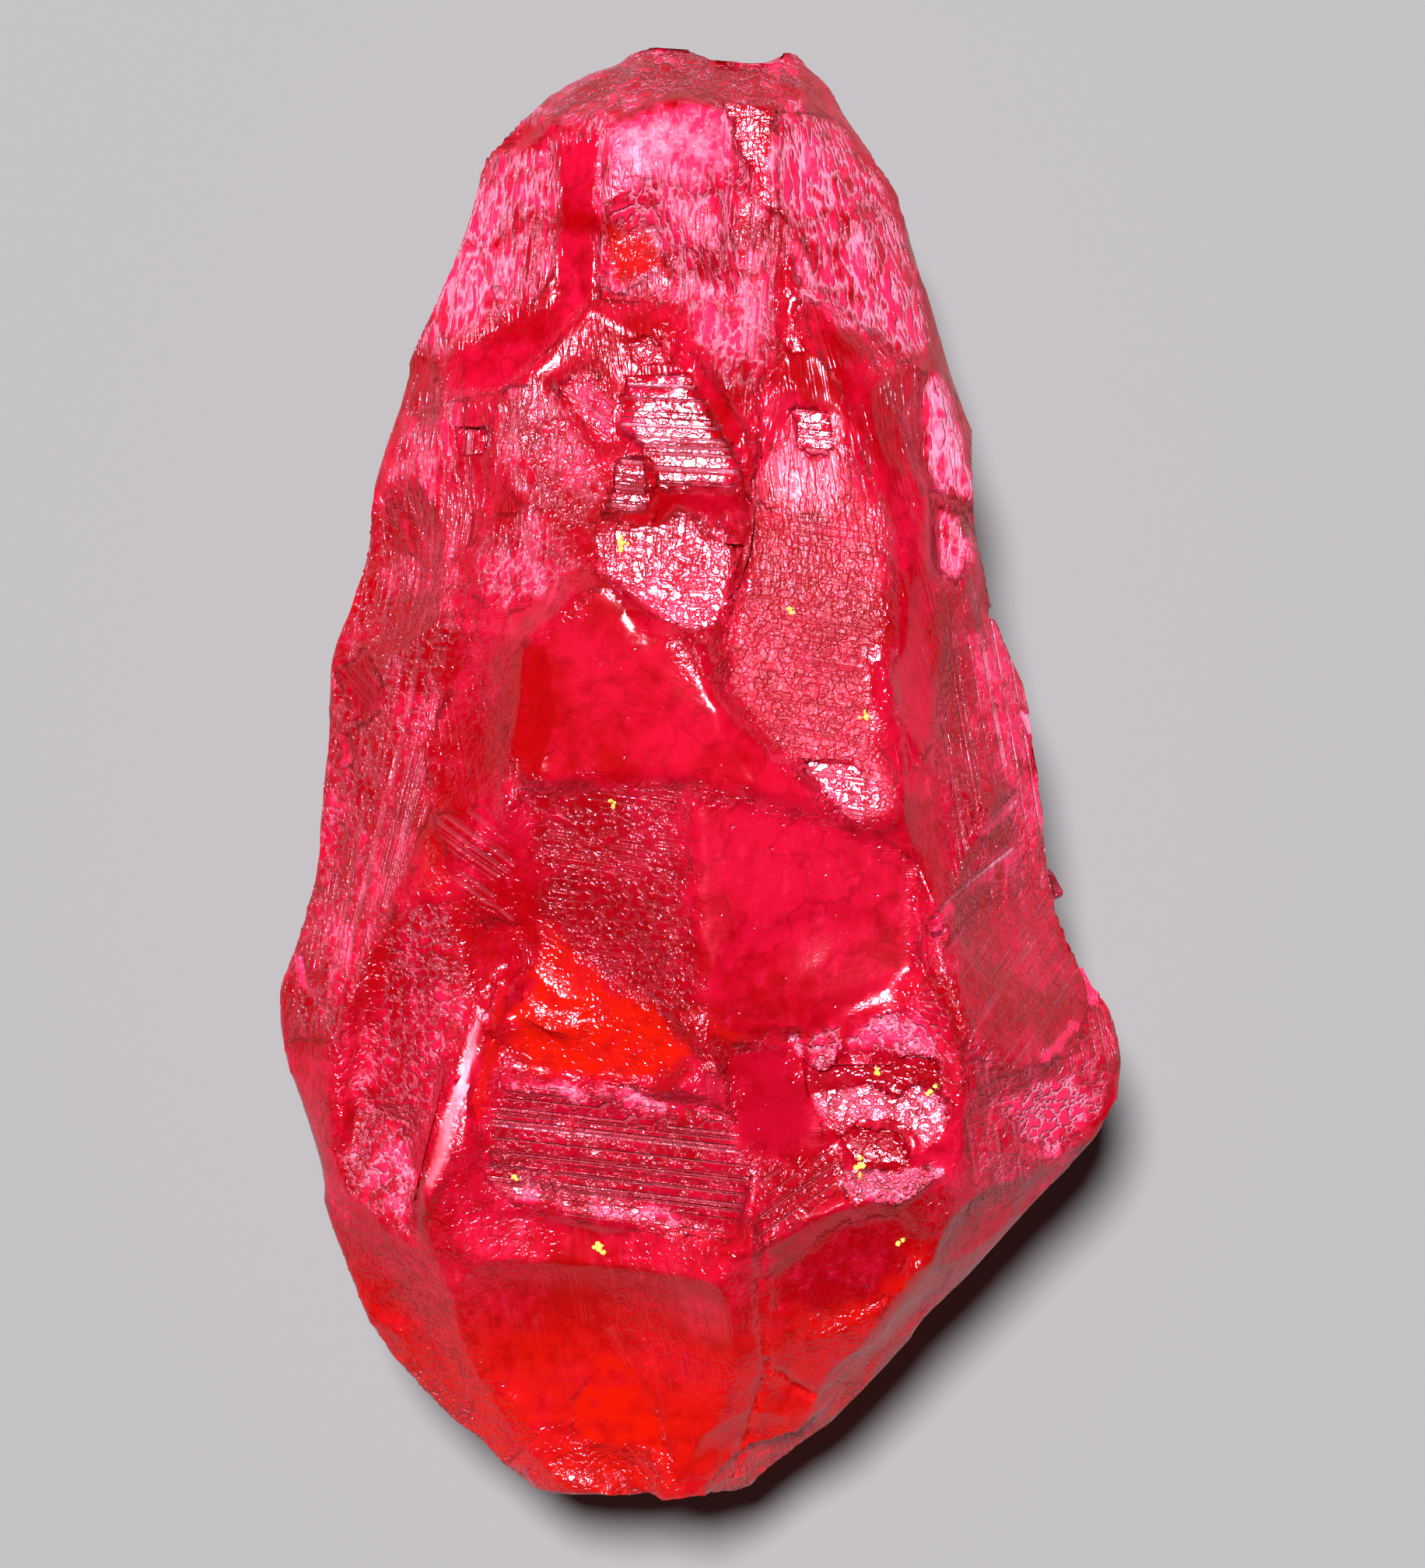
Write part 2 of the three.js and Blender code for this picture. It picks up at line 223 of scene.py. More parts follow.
        depth=0.1, flat=0.9, slope=(-0.12, -0.12), pits=0.55, frost=0.15, matte=0.8, lines=0.4,
        angle=-9, dots=0.8),
    "long_face_head": dict(
        outline=[(6.1, 24), (8.4, 23.7), (9.6, 21.4), (9.9, 18.6), (8.4, 16.8), (4, 17.4),
                 (3.6, 19.4), (5.4, 22)],
        edge=3, depth=0.02, flat=1, slope=(-0.02, -0.13), pits=0.3, frost=0.3, matte=0.6, lines=0.3,
        angle=-80),
    "long_face_glint": dict(
        outline=[(6.1, 24), (8.4, 23.7), (8.7, 21.4), (8.2, 20.6), (6.4, 21.2)],
        edge=CRISP, depth=0.2, flat=1, slope=KEY_SLOPE, reach=2.2, pits=0.15, frost=0.15,
        matte=-0.1, flow=0, lines=1.2, angle=-6),
    "long_face_tip": dict(
        outline=[(6.2, 0.6), (9.6, 0.9), (11.4, -0.6), (12, -3.1), (9.6, -2.8), (7.6, -1)],
        edge=CRISP, depth=0.3, flat=1, slope=KEY_SLOPE, reach=2.2, pits=0.6, frost=0.3, matte=-0.1,
        lines=0.8, angle=-8),
    "ridge_glint": dict(
        outline=[(11, 8.2), (11.9, 8.6), (11.9, 7), (10.9, 6.8)],
        edge=CRISP, depth=0.0, flat=1, slope=KEY_SLOPE, pits=0.05, frost=0.15),
    # Frost above 1 here and in the next face also paints a pale sheen: painted highlight.
    "right_shoulder": dict(
        outline=[(14.9, 26), (16.2, 27.4), (17.2, 25), (18.6, 19.5), (18.5, 17.6), (16.8, 18.4),
                 (15.2, 18.8), (14.4, 20.8)],
        depth=0.1, flat=0.9, slope=(-0.25, -0.1), pits=1.2, frost=1.3),
    "right_shoulder_step": dict(
        outline=[(15.6, 17.6), (17.4, 17.4), (18.8, 15.2), (17, 12.8), (15.6, 13.6)],
        depth=0.35, flat=0.9, slope=(-0.3, -0.05), pits=1.0, frost=1.2),
    "right_side_frost": dict(
        outline=[(16.9, 10), (20.8, 10), (22.8, 4), (24.6, -2), (22.6, -5), (20.6, -2), (18.4, 2.6),
                 (17.8, 7)],
        depth=0.15, flat=0.6, pits=0.5, frost=0.6, lines=0.8, angle=100),
    "slanting_ridge": dict(
        outline=[(14.6, -9.8), (17, -7.6), (20, -4.8), (22, -4.8), (21.6, -6.4), (18, -8.2),
                 (15.4, -10.9)],
        edge=0.8, depth=-0.25, flat=0.3, pits=0.3, frost=0.7, lines=1.2, angle=36),
    "right_flank": dict(
        outline=[(16, -11.4), (18.4, -9), (22, -7.6), (25.6, -9), (26.4, -15), (25, -18.6),
                 (20.6, -19.8), (17.4, -18.6)],
        depth=0.1, flat=0.6, pits=0.3, frost=0.22, lines=0.5, angle=52, dots=0.5),
    # Frost above 1 makes these small faces pale: painted glints.
    "right_lobe_glint": dict(
        outline=[(24.5, -21.4), (26, -21.6), (26, -23.2), (24.7, -23.8)],
        edge=CRISP, depth=0.1, flat=0.7, pits=0.3, frost=1.6),
    "right_foot_glint": dict(
        outline=[(22.8, -24), (24.2, -23.8), (24, -25.8), (22.9, -26)],
        edge=CRISP, depth=0.1, flat=0.7, pits=0.4, frost=1.5),
    "upper_flank_glint": dict(
        outline=[(21.4, 4.4), (22.6, 3.6), (23.2, 1.2), (22.2, 1.8)],
        edge=CRISP, depth=0.1, flat=0.8, pits=0.3, frost=1.4),
    "edge_glint": dict(
        outline=[(25.6, -12.8), (26.8, -13.4), (26.9, -16), (26, -15.6)],
        edge=CRISP, depth=0.1, flat=0.8, pits=0.4, frost=1.3),
    "flank_stripe": dict(
        outline=[(18.2, -3.9), (21, -1.4), (21.6, -2), (18.8, -4.6)],
        edge=CRISP, depth=-0.05, flat=0.8, pits=0.3, frost=1.1, lines=0.8, angle=42),
    "low_flank_stripe": dict(
        outline=[(22.3, -18.8), (25.1, -16.3), (25.6, -17), (22.9, -19.5)],
        edge=CRISP, depth=-0.05, flat=0.8, pits=0.3, frost=1.1, lines=0.8, angle=42),
    "right_lobe": dict(
        outline=[(19, -21.6), (22.6, -20), (26.4, -19.8), (26.8, -22.4), (23.8, -25.8),
                 (21.4, -24)],
        ragged=0.6, depth=0.2, flat=0.5, pits=1.1, frost=0.6),
    "orange_lens": dict(
        outline=[(-10.6, -10.6), (-7.2, -12.6), (-5, -14.4), (-2, -16.2), (0, -18.8), (-3, -20.8),
                 (-8, -20.6), (-12.4, -20), (-13, -16), (-11, -12.6)],
        edge=1.2, ragged=0.2, depth=0.15, flat=0.9, slope=(0.2, 0.16), reach=2.4, pits=0.15,
        frost=0.1, lines=0.05, angle=-4, dots=0.7, painted_glow=1),
    "banded_panel": dict(
        outline=[(-13.2, -20.4), (-8, -20.7), (-2, -21.4), (2, -22.4), (3.6, -26), (2.4, -30.8),
                 (-4, -30.3), (-11, -29.2), (-14.4, -27), (-14.4, -23)],
        depth=0.1, flat=0.9, slope=(0.12, 0.2), pits=0.6, frost=0.12, lines=1.3, angle=-6, dots=0.6,
        painted_shade=0.25),
    "banded_top_edge": dict(
        outline=[(-13.2, -20.2), (-8, -20.6), (-2, -21.4), (1.6, -22.3), (1.2, -23.2),
                 (-2.6, -22.5), (-7.6, -21.6), (-12.8, -21.2)],
        ragged=0.5, depth=-0.15, flat=0.9, slope=(0.05, -0.05), pits=1.1, frost=0.95, lines=0.6,
        angle=-6),
    "banded_low_edge": dict(
        outline=[(-13.4, -27.4), (-9, -27.8), (-3, -28.4), (-0.6, -29.4), (-2, -30.1), (-7, -29.8),
                 (-12, -28.8)],
        ragged=0.5, depth=-0.15, flat=0.9, slope=(0.05, -0.05), pits=1.1, frost=0.95, lines=0.6,
        angle=-6),
    "dark_patch": dict(
        outline=[(1.8, -18.4), (6, -17.7), (6.8, -20.6), (8.6, -24), (5, -26.4), (3.2, -25.4),
                 (1.9, -22)],
        edge=4, ragged=0.6, depth=0.3, flat=0.9, pits=0.04, frost=0, dots=0.7, painted_shade=0.4),
    "fan_lines": dict(
        outline=[(3.4, -26.6), (8.6, -24.3), (9.8, -27), (5.2, -30.6), (3.4, -31.9)],
        depth=0.2, flat=0.9, pits=0.45, frost=0.25, lines=0.9, angle=34, painted_shade=0.2),
    "hollow_top_band": dict(
        outline=[(5.2, -17.6), (10, -17.2), (14.2, -15.8), (15.9, -17), (15.5, -18.9), (11, -19.2),
                 (6.6, -18.9)],
        edge=CRISP, ragged=0.9, depth=0.05, flat=0.9, slope=(0.09, -0.1), pits=1.5, frost=0.7),
    "upper_hollow": dict(
        outline=[(6.7, -19), (15.3, -18.9), (15.7, -20.7), (10, -21), (7, -21)],
        edge=CRISP, ragged=0.9, depth=0.35, flat=0.6, pits=0.2, frost=0, painted_shade=0.5),
    "hollow_mid_band": dict(
        outline=[(6.8, -21), (15.6, -21), (15.9, -24.2), (14.6, -24.4), (13, -22.7), (10.4, -22.4),
                 (9.4, -23.9), (8.4, -22.8)],
        edge=CRISP, ragged=0.9, depth=0.4, flat=1, slope=KEY_SLOPE, reach=2.2, pits=1.0, frost=0.5,
        matte=-0.1, flow=0),
    "lower_hollow": dict(
        outline=[(9.2, -23.8), (10.6, -23.1), (12.6, -23.6), (14.5, -25.6), (10, -25.8)],
        edge=CRISP, ragged=0.9, depth=0.35, flat=0.6, pits=0.2, frost=0, painted_shade=0.5),
    "hollow_low_band": dict(
        outline=[(9.4, -26.2), (13, -26), (15.7, -25.1), (16.2, -26.4), (14, -28.6), (10.4, -29),
                 (9.2, -27)],
        edge=CRISP, ragged=0.9, depth=0.0, flat=0.9, slope=(0, -0.1), pits=1.5, frost=0.7,
        lines=0.7, angle=32),
    "left_crimson": dict(
        outline=[(-19.8, -8), (-16.2, -8.6), (-15, -12.6), (-15.4, -16), (-16.8, -20), (-18.4, -26),
                 (-19.2, -30.8), (-21.4, -29.6), (-24.2, -27.8), (-23.6, -20.8), (-21.8, -14)],
        edge=2.4, depth=0.1, flat=0.4, pits=0.8, frost=0.35, dots=1),
    "left_crimson_foot": dict(
        outline=[(-22.4, -22), (-19.4, -23), (-18.8, -26.6), (-19.3, -30.6), (-21.4, -29.5),
                 (-24, -27.6), (-23.6, -23.6)],
        ragged=0.6, depth=0.15, flat=0.9, slope=(0.3, -0.1), pits=1.3, frost=0.8),
    "glossy_strip": dict(
        outline=[(-15, -15), (-13.8, -15.8), (-14.4, -19), (-17, -27), (-18.6, -30.2), (-19, -29),
                 (-18, -25), (-16.4, -20)],
        edge=0.5, ragged=0.05, depth=0, flat=0.9, slope=(0.12, -0.1), reach=1.6, pits=0, frost=0.3,
        matte=0.9),
    "left_triangle": dict(
        outline=[(-17.8, -2.8), (-14, -2.2), (-12, -4.6), (-11.8, -9.4), (-14, -12), (-16.6, -8)],
        edge=2.4, depth=0.1, flat=0.5, pits=0.2, frost=0.3, lines=0.6, angle=-35),
    "left_ridge_face": dict(
        outline=[(-20.6, 2), (-18.2, 4), (-18, -3), (-19.6, -6), (-20.4, -9), (-22.4, -14),
                 (-23.8, -15), (-23.4, -8), (-21.6, -2)],
        edge=3, depth=0.15, flat=0.5, pits=0.5, frost=0.4, matte=0.6, lines=0.7, angle=76),
    "cross_lined_square": dict(
        outline=[(-24.8, 7), (-22.4, 8.2), (-20.6, 5), (-22.8, 2.8)],
        depth=0.3, flat=0.9, pits=0.05, frost=0.1, lines=0.3, angle=-48, painted_shade=0.4),
    # Frost above 1 makes these two small faces pale: painted glints.
    "left_edge_glint": dict(
        outline=[(-27.4, -12), (-26.6, -12.4), (-26.4, -14.4), (-27.2, -14.6)],
        edge=CRISP, depth=0.05, flat=0.8, pits=0.3, frost=1.5),
    "left_patch": dict(
        outline=[(-24.6, 2.8), (-23.5, 2.4), (-23.2, 0.6), (-24, 0.4)],
        edge=CRISP, depth=0.05, flat=0.8, pits=0.2, frost=1.2),
    "orange_triangle": dict(
        outline=[(-18.2, -4.2), (-17, -5), (-16.5, -8), (-19.4, -8.4)],
        edge=1, depth=0.1, flat=0.3, pits=0.5, frost=0.1, painted_glow=0.5),
    "crimson_triangle": dict(
        outline=[(-16.4, -9.8), (-11.6, -10), (-12.5, -12.6), (-14.8, -15), (-15.3, -12.4)],
        edge=0.5, depth=0.15, flat=0.9, pits=0.05, frost=0.25),
    "orange_chips": dict(
        outline=[(-10.4, -9.8), (-7.9, -10.4), (-7.8, -12.6), (-9.6, -13.1), (-10.6, -12)],
        edge=1.2, depth=0.1, flat=0.8, slope=(0.3, 0.1), reach=1.5, pits=0.3, frost=0.0, painted_glow=0.8),
    "orange_strip": dict(
        outline=[(-13.5, -13.8), (-12.2, -13), (-13.4, -20), (-14.6, -23), (-15.3, -22),
                 (-14.3, -17)],
        edge=0.5, depth=0.2, flat=0.7, pits=0.2, frost=0, painted_glow=0.8),
    "lower_orange_patch": dict(
        outline=[(-15, -41), (-12, -42.5), (-11, -44.5), (-13.6, -47.4), (-16, -45)],
        edge=0.6, depth=0.15, flat=0.7, pits=0.3, frost=0, painted_glow=1),
    "lower_orange_wedge": dict(
        outline=[(-6.2, -38), (-3, -43), (-2, -46), (-8.8, -45), (-8.5, -42)],
        edge=1.8, depth=0.15, flat=0.9, pits=0.03, frost=0, painted_glow=1),
    "orange_edge": dict(
        outline=[(14.2, -32.6), (13, -34.6), (10.6, -39), (8.6, -41), (10.4, -41.2), (14.6, -36.6),
                 (17, -33.4)],
        edge=0.8, depth=0.1, flat=0.6, pits=0.1, frost=0, painted_glow=0.8),
    "petal": dict(
        outline=[(-21.4, 18.6), (-19.2, 16.8), (-18.7, 14), (-20, 15.2)],
        depth=-0.15, flat=1, pits=0.03, frost=0.8),
    "violet_face": dict(
        outline=[(4.4, -33.6), (9.4, -29.7), (13, -29.4), (14.6, -31), (12, -35), (9, -36.4),
                 (5, -35.4)],
        depth=0.25, flat=0.9, pits=0.1, frost=0.3, dots=0.4),
}

# Open cracks: a line of points from above, with its width and depth.
CRACKS = {
    "long_crack": dict(path=[(4.2, -29.6), (3.9, -34), (4.3, -38), (4.7, -39.8), (7.2, -41.8)],
                       width=0.5, depth=0.5),
    "crack_fork": dict(path=[(4.4, -39.4), (3.4, -43.4), (2.2, -47.6)], width=0.4, depth=0.4),
    "left_growth_crack": dict(path=[(-10.2, 41.6), (-9.9, 36), (-10.6, 32)], width=0.5, depth=0.5),
    "strip_crack": dict(path=[(-6.6, 42.4), (-6.7, 37), (-6.5, 31.6)], width=0.35, depth=0.35),
    "groove": dict(path=[(4.8, 37), (4.9, 28), (3, 20.6), (2.7, 15.6), (2.2, 11), (1.4, 8)],
                   width=0.7, depth=0.6),
    "strip_edge": dict(path=[(-12, -12), (-13.4, -19), (-14.8, -23)], width=0.5, depth=0.4),
}

# The worn edge on the left: a line of points from above, and the width worn down along it.
WORN_PATH = [(-24.2, -26), (-24.6, -21), (-24.4, -16), (-22.4, -12), (-18.4, -8.4)]
WORN_WIDTH, WORN_ROUNDS = 3.2, 60

# Yellow grains on the upper side: x, y and size, each made of a few crumbs.
CRUMBS = 5
GRAINS = [(-6.9, -31.3, 0.55), (10.3, -26, 0.5), (13.3, -30.9, 0.4), (-12.4, -26.3, 0.35),
          (-5.3, 14.9, 0.5), (5.9, 10.6, 0.4), (10.8, 3.7, 0.4), (-5.7, -1.8, 0.4),
          (15.4, -20.8, 0.4), (11.5, -19.8, 0.35)]


# ---------- numbers over the surface ----------
def smooth(low, high, value):
    """0 below low, 1 above high, with a smooth rise between them."""
    t = np.clip((value - low) / (high - low), 0.0, 1.0)
    return t * t * (3.0 - 2.0 * t)


def lattice(ix, iy, iz, seed):
    """A repeatable number from 0 to 1 for each whole-number point."""
    h = ix * 374761393 + iy * 668265263 + iz * 1442695041 + seed * 1274126177
    h = ((h ^ (h >> 13)) * 1103515245) & 0x7FFFFFFF
    h = h ^ (h >> 16)
    return (h & 0xFFFF) / 65536.0


def noise(places, size, seed):
    """Smooth noise from -1 to 1 with lumps of about size mm, one number or one for each axis."""
    p = places / np.asarray(size, float)
    base = np.floor(p).astype(np.int64)
    f = p - base
    f = f * f * (3.0 - 2.0 * f)
    total = np.zeros(len(places))
    for corner in range(8):
        step = np.array([corner & 1, (corner >> 1) & 1, corner >> 2])
        weight = np.where(step, f, 1 - f).prod(1)
        total += weight * lattice(*(base + step).T, seed)
    return total * 2.0 - 1.0


def rough_noise(places, size, seed, octaves=3):
    """Noise with finer and fainter lumps added."""
    size = np.asarray(size, float)
    total = np.zeros(len(places))
    for octave in range(octaves):
        total += noise(places, size / 2**octave, seed + octave) / 2**octave
    return total / (2.0 - 2.0 ** (1 - octaves))


def inside(outline, xy):
    """Distance in mm from a closed outline seen from above, positive inside it, and the way in."""
    best = np.full(len(xy), 1e9)
    away = np.zeros((len(xy), 2))
    within = np.zeros(len(xy), bool)
    for (x0, y0), (x1, y1) in zip(outline, outline[1:] + outline[:1]):
        edge = np.array([x1 - x0, y1 - y0])
        to = xy - (x0, y0)
        along = np.clip(to @ edge / (edge @ edge), 0, 1)
        to = to - along[:, None] * edge
        reach = np.hypot(*to.T)
        away = np.where((reach < best)[:, None], to, away)
        best = np.minimum(best, reach)
        spans = (y0 > xy[:, 1]) != (y1 > xy[:, 1])
        crossing = x0 + (xy[:, 1] - y0) * (x1 - x0) / ((y1 - y0) or 1e-9)
        within ^= spans & (xy[:, 0] < crossing)
    depth = np.where(within, best, -best)
    return depth, away / np.where(depth == 0, 1e-9, depth)[:, None]


def beside(path, xy):
    """Distance in mm from an open line of points seen from above."""
    best = np.full(len(xy), 1e9)
    for start, end in zip(path, path[1:]):
        edge = np.subtract(end, start)
        to = xy - start
        along = np.clip(to @ edge / (edge @ edge), 0, 1)
        best = np.minimum(best, np.hypot(*(to - along[:, None] * edge).T))
    return best


# ---------- the stone's mesh ----------
def apply_modifiers(stone):
    evaluated = stone.evaluated_get(bpy.context.evaluated_depsgraph_get())
    stone.data = bpy.data.meshes.new_from_object(evaluated)
    stone.modifiers.clear()


def fine_stone():
    """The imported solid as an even, fine mesh of its own."""
    stone = bpy.data.objects.new("ruby_crystal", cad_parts[NODE].data.copy())
    bpy.context.scene.collection.objects.link(stone)
    remesh = stone.modifiers.new("even", "REMESH")
    remesh.mode = "VOXEL"
    remesh.voxel_size = GRAIN * UNIT
    apply_modifiers(stone)
    stone.data.materials.clear()
    return stone


def thin_out(stone):
    """Leaves out points where the carved stone is flattest."""
    stone.data.calc_loop_triangles()
    thin = stone.modifiers.new("thin", "DECIMATE")
    thin.ratio = min(1.0, MOST_TRIANGLES / len(stone.data.loop_triangles))
    apply_modifiers(stone)


def read_points(mesh):
    flat = np.zeros(len(mesh.vertices) * 3)
    mesh.vertices.foreach_get("co", flat)
    return (flat.reshape(-1, 3) - ORIGIN) / UNIT


def write_points(mesh, points):
    mesh.vertices.foreach_set("co", (points * UNIT + ORIGIN).ravel())
    mesh.update()


def read_normals(mesh):
    flat = np.zeros(len(mesh.vertices) * 3)
    mesh.vertex_normals.foreach_get("vector", flat)
    return flat.reshape(-1, 3)


def knap(points, normals, tone, count, depth, reach, seed):
    """Shell-shaped breaks at random places, each a shallow bowl with a tone of its own."""
    rng = np.random.default_rng(seed)
    for pick in rng.integers(0, len(points), count):
        lean = normals[pick] + rng.normal(0, 0.12, 3)
        lean /= np.linalg.norm(lean)
        near_end = smooth(HALF_LENGTH - 14, HALF_LENGTH - 4, abs(points[pick, 1]))
        near_edge = abs(points[pick, 2] - EDGE_HEIGHT) < 4
        size = rng.uniform(0.5, 1.3) * (1 - 0.6 * max(near_end, near_edge))
        to = points - (points[pick] - lean * depth * size)
        far = np.linalg.norm(to, axis=1)
        bowl = depth * size * (far / (reach * size)) ** 2
        above = to @ lean - bowl
        cut = (far < 2.5 * reach * size) & (above > 0) & (above < 3) & (points[:, 2] > 1.5)
        points[cut] -= above[cut, None] * lean
        tone[cut] = rng.uniform(-1, 1)
    return points


def growth_steps(across, seed):
    """Uneven ridges with a height from 0 to 1, for a place in mm across the growth lines."""
    places = np.stack([across, 0 * across, 0 * across], 1)
    bend = across + 0.7 * noise(places, 2.6, seed)
    saw = np.mod(bend / LINE_SPACING, 1.0)
    return smooth(0.0, 0.22, saw) * (1 - smooth(0.72, 1.0, saw))


def cut_faces(points, normals, finish):
    """Flattens each named face in turn, steps it below its surroundings and notes its finish."""
    wander = np.stack([noise(points, 1.6, 31), noise(points, 1.6, 32)], 1)
    upper = (normals[:, 2] > 0.12) & (points[:, 2] > EDGE_HEIGHT - FACE_DROP)
    facing = smooth(0.15, 0.45, normals[:, 2])
    for seed, face in enumerate(FACES.values(), start=100):
        outline = face["outline"]
        low, high = np.min(outline, 0) - 1, np.max(outline, 0) + 1
        near = upper & (points[:, :2] > low).all(1) & (points[:, :2] < high).all(1)
        ids = np.flatnonzero(near)
        p = points[ids]
        depth_in, inward = inside(outline, p[:, :2] + face.get("ragged", USUAL_RAGGED) * wander[ids])
        edge = face.get("edge", USUAL_EDGE)
        if edge == CRISP:
            rim = np.abs(depth_in) < 0.6 * GRAIN
            shift = np.where(rim, np.where(depth_in > 0, 0.06, -0.06) - depth_in, 0)
            points[ids, :2] += shift[:, None] * inward
            p = points[ids]
        weight = smooth(-edge / 2, edge / 2, depth_in + edge * 0.1)
        core = p[depth_in > 0.2]
        if len(core) < 6:
            core = p[depth_in > -0.3]
        middle = core.mean(0)
        sides = np.c_[core[:, :2] - middle[:2], np.ones(len(core))]
        fit = np.linalg.lstsq(sides, core[:, 2], rcond=None)[0]
        slope = face.get("slope", fit[:2])
        plane = middle[2] + (p[:, :2] - middle[:2]) @ np.asarray(slope)
        z = p[:, 2] + face["flat"] * (plane - p[:, 2]) - face["depth"]
        angle = math.radians(face.get("angle", 0))
        across = p[:, 1] * math.cos(angle) - p[:, 0] * math.sin(angle)
        lines = face.get("lines", 0)
        move = np.clip(z - p[:, 2], -face.get("reach", SUNK + SUNK_PER_EDGE * edge), PROUD)
        unbroken = smooth(-0.4, 0.4, noise(p, 3, seed + 70))
        relief = lines * LINE_DEPTH * growth_steps(across, seed) * unbroken
        relief += face["pits"] * PIT_DEPTH * rough_noise(p, PIT_SIZE, seed, 2)
        points[ids, 2] += weight * (move - facing[ids] * relief)
        blur = min(1.0, 0.3 + edge / 2)
        ragged = depth_in + blur * 0.6 * noise(p, (0.9, 1.6, 0.9), seed + 50)
        sharp = smooth(-0.1, blur, ragged)
        if "flow" in face:
            finish["flow"][ids] += sharp * (face["flow"] - finish["flow"][ids])
        for key in ("pits", "frost", "lines", "painted_glow", "painted_shade", "matte", "dots"):
            finish[key][ids] += sharp * (face.get(key, 0) - finish[key][ids])
        finish["across"][ids] += (depth_in > 0) * (across - finish["across"][ids])
    return points


class Neighbours:
    """The points of a mesh that share an edge with each point."""

    def __init__(self, mesh):
        pairs = np.zeros(len(mesh.edges) * 2, int)
        mesh.edges.foreach_get("vertices", pairs)
        one, other = pairs.reshape(-1, 2).T
        self.here, self.there = np.r_[one, other], np.r_[other, one]
        self.count = np.bincount(self.here, minlength=len(mesh.vertices))

    def middle(self, points):
        size = len(points)
        sums = [np.bincount(self.here, points[self.there, axis], size) for axis in range(3)]
        return np.stack(sums, 1) / self.count[:, None]


def settle(points, neighbours):
    """Draws lone points that stick out back among their neighbours."""
    for _ in range(6):
        middle = neighbours.middle(points)
        out = np.linalg.norm(points - middle, axis=1) > SPIKE
        points[out] = middle[out]
    return points


def wear(points, neighbours):
    """Wears the worn edge down to a soft slope."""
    upper = points[:, 2] > EDGE_HEIGHT - 2
    away = beside(WORN_PATH, points[:, :2])
    amount = (upper * (1 - smooth(0.4 * WORN_WIDTH, WORN_WIDTH, away)))[:, None]
    for _ in range(WORN_ROUNDS):
        points = points + amount * (neighbours.middle(points) - points)
    return points


def open_cracks(points, normals):
    """Narrow grooves along the named cracks."""
    wander = np.stack([noise(points, 1.2, 41), noise(points, 1.2, 42)], 1) * 0.25
    upper = smooth(0.1, 0.3, normals[:, 2])
    for crack in CRACKS.values():
        away = beside(crack["path"], points[:, :2] + wander)
        points[:, 2] -= upper * crack["depth"] * (1 - smooth(0.1, crack["width"], away))
    return points


def bare_finish(points, tone):
    """The finish of the stone where no named face changes it."""
    lower = smooth(EDGE_HEIGHT, EDGE_HEIGHT - 3, points[:, 2])
    return {
        "tone": tone,
        "matte": np.full(len(points), 0.2),
        "flow": smooth(6, 26, points[:, 1] + 4 * noise(points, (6, 9, 6), 53)),
        "dots": np.full(len(points), 0.4),
        "pits": 0.3 + 0.4 * lower + 0.4 * noise(points, (4, 6, 4), 51),
        "frost": 0.14 + 0.25 * lower + 0.2 * noise(points, (4, 7, 4), 52),
        "lines": 0.15 + 0.5 * lower,
        # painted orange glow, as if lit from within, over the lower end of the stone
        "painted_glow": 0.8 * smooth(-28, -42, points[:, 1] + 2 * noise(points, 5, 54)),
        "painted_shade": np.zeros(len(points)),
        "across": points[:, 0] * 0.98 + points[:, 1] * 0.15,
    }


def break_all_over(mesh, points):
    """Breaks over the whole stone, larger ones on its lower side, and a tone for each point."""
    tone = np.zeros(len(points))
    points = knap(points, read_normals(mesh), tone, **ALL_BREAKS)
    under = points[:, 2] < EDGE_HEIGHT
    low_tone = tone[under]
    points[under] = knap(points[under], read_normals(mesh)[under], low_tone, **LOWER_BREAKS)
    tone[under] = low_tone
    return points, tone


def carve(stone):
    """The stone's relief, from its broad swellings to its cracks, and its finish at each point."""
    mesh = stone.data
    points, normals = read_points(mesh), read_normals(mesh)
    free = smooth(*FREE_HEIGHTS, points[:, 2])
    swell = SWELL * rough_noise(points, SWELL_SIZE, 1, 2)
    points += normals * (swell * free)[:, None]
    write_points(mesh, points)
    points, tone = break_all_over(mesh, points)
    neighbours = Neighbours(mesh)
    points = wear(points, neighbours)
    write_points(mesh, points)
    finish = bare_finish(points, tone)
    points = settle(cut_faces(points, read_normals(mesh), finish), neighbours)
    points = open_cracks(points, normals)
    ends = smooth(HALF_LENGTH - CRUMBLED_LENGTH, HALF_LENGTH, np.abs(points[:, 1]))
    crumble = ends * rough_noise(points, CRUMBLE_SIZE, 61, 3) * CRUMBLE
    points += normals * (crumble * free)[:, None]
    points[:, 2] = np.maximum(points[:, 2], 0)
    write_points(mesh, points)
    for key, values in finish.items():
        layer = mesh.attributes.new(key, "FLOAT", "POINT")
        layer.data.foreach_set("value", values.astype(np.float32))
    thin_out(stone)
    stone.data.shade_smooth()
    stone.data.set_sharp_from_angle(angle=math.radians(SHARP_ANGLE))
